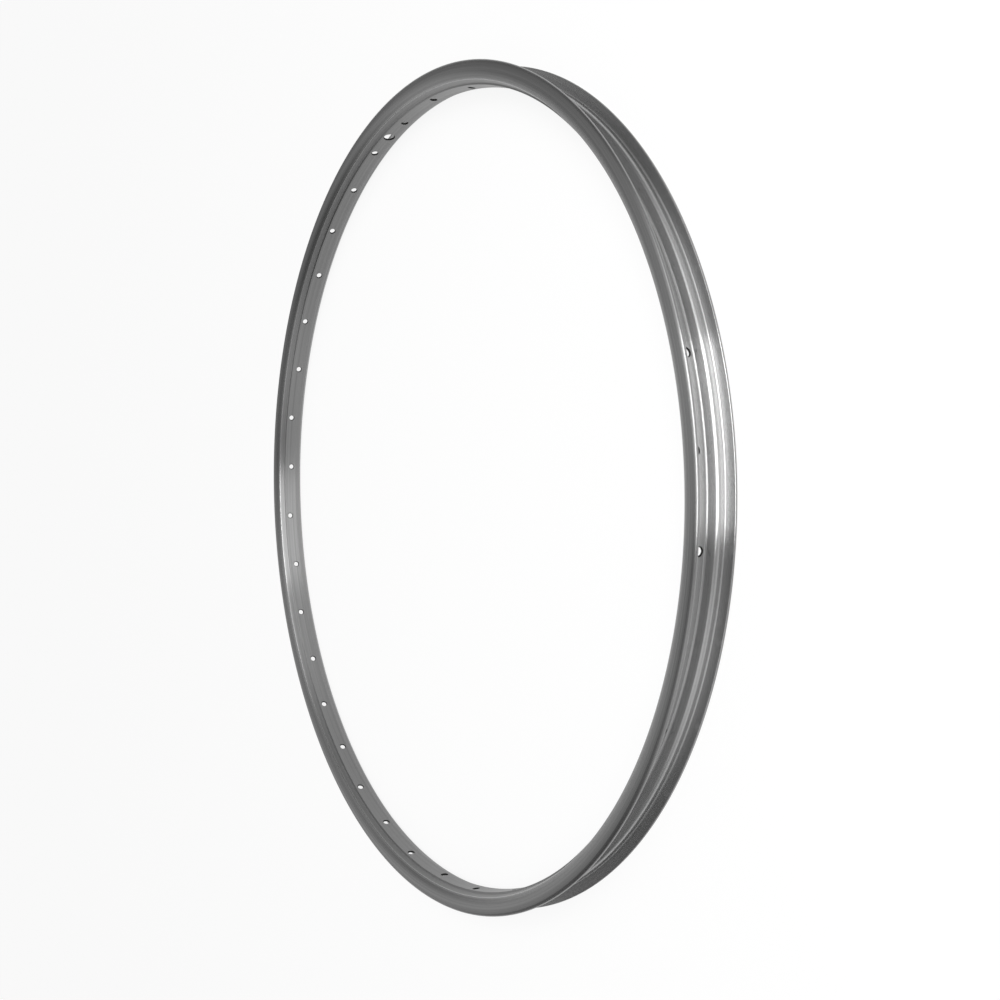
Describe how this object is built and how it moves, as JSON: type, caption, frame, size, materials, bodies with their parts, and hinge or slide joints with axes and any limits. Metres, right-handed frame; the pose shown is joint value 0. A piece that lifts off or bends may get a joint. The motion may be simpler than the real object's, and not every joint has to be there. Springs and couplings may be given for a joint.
{
  "type": "bicycle rim",
  "caption": "Single-wall aluminium bicycle rim: a plain hoop with tyre flanges, a drop well, staggered spoke holes and a valve hole.",
  "frame": {"origin": "centre of the hoop, on its middle plane", "axes": "+Z is the hoop's axis, so the rim lies flat; +Y points from the centre to the valve hole"},
  "size_m": [0.6359, 0.636, 0.029],
  "materials": {
    "alloy": "dark silver, satin, with fine lines along the hoop"
  },
  "bodies": {
    "root": {"rim": "alloy"}
  },
  "joints": []
}
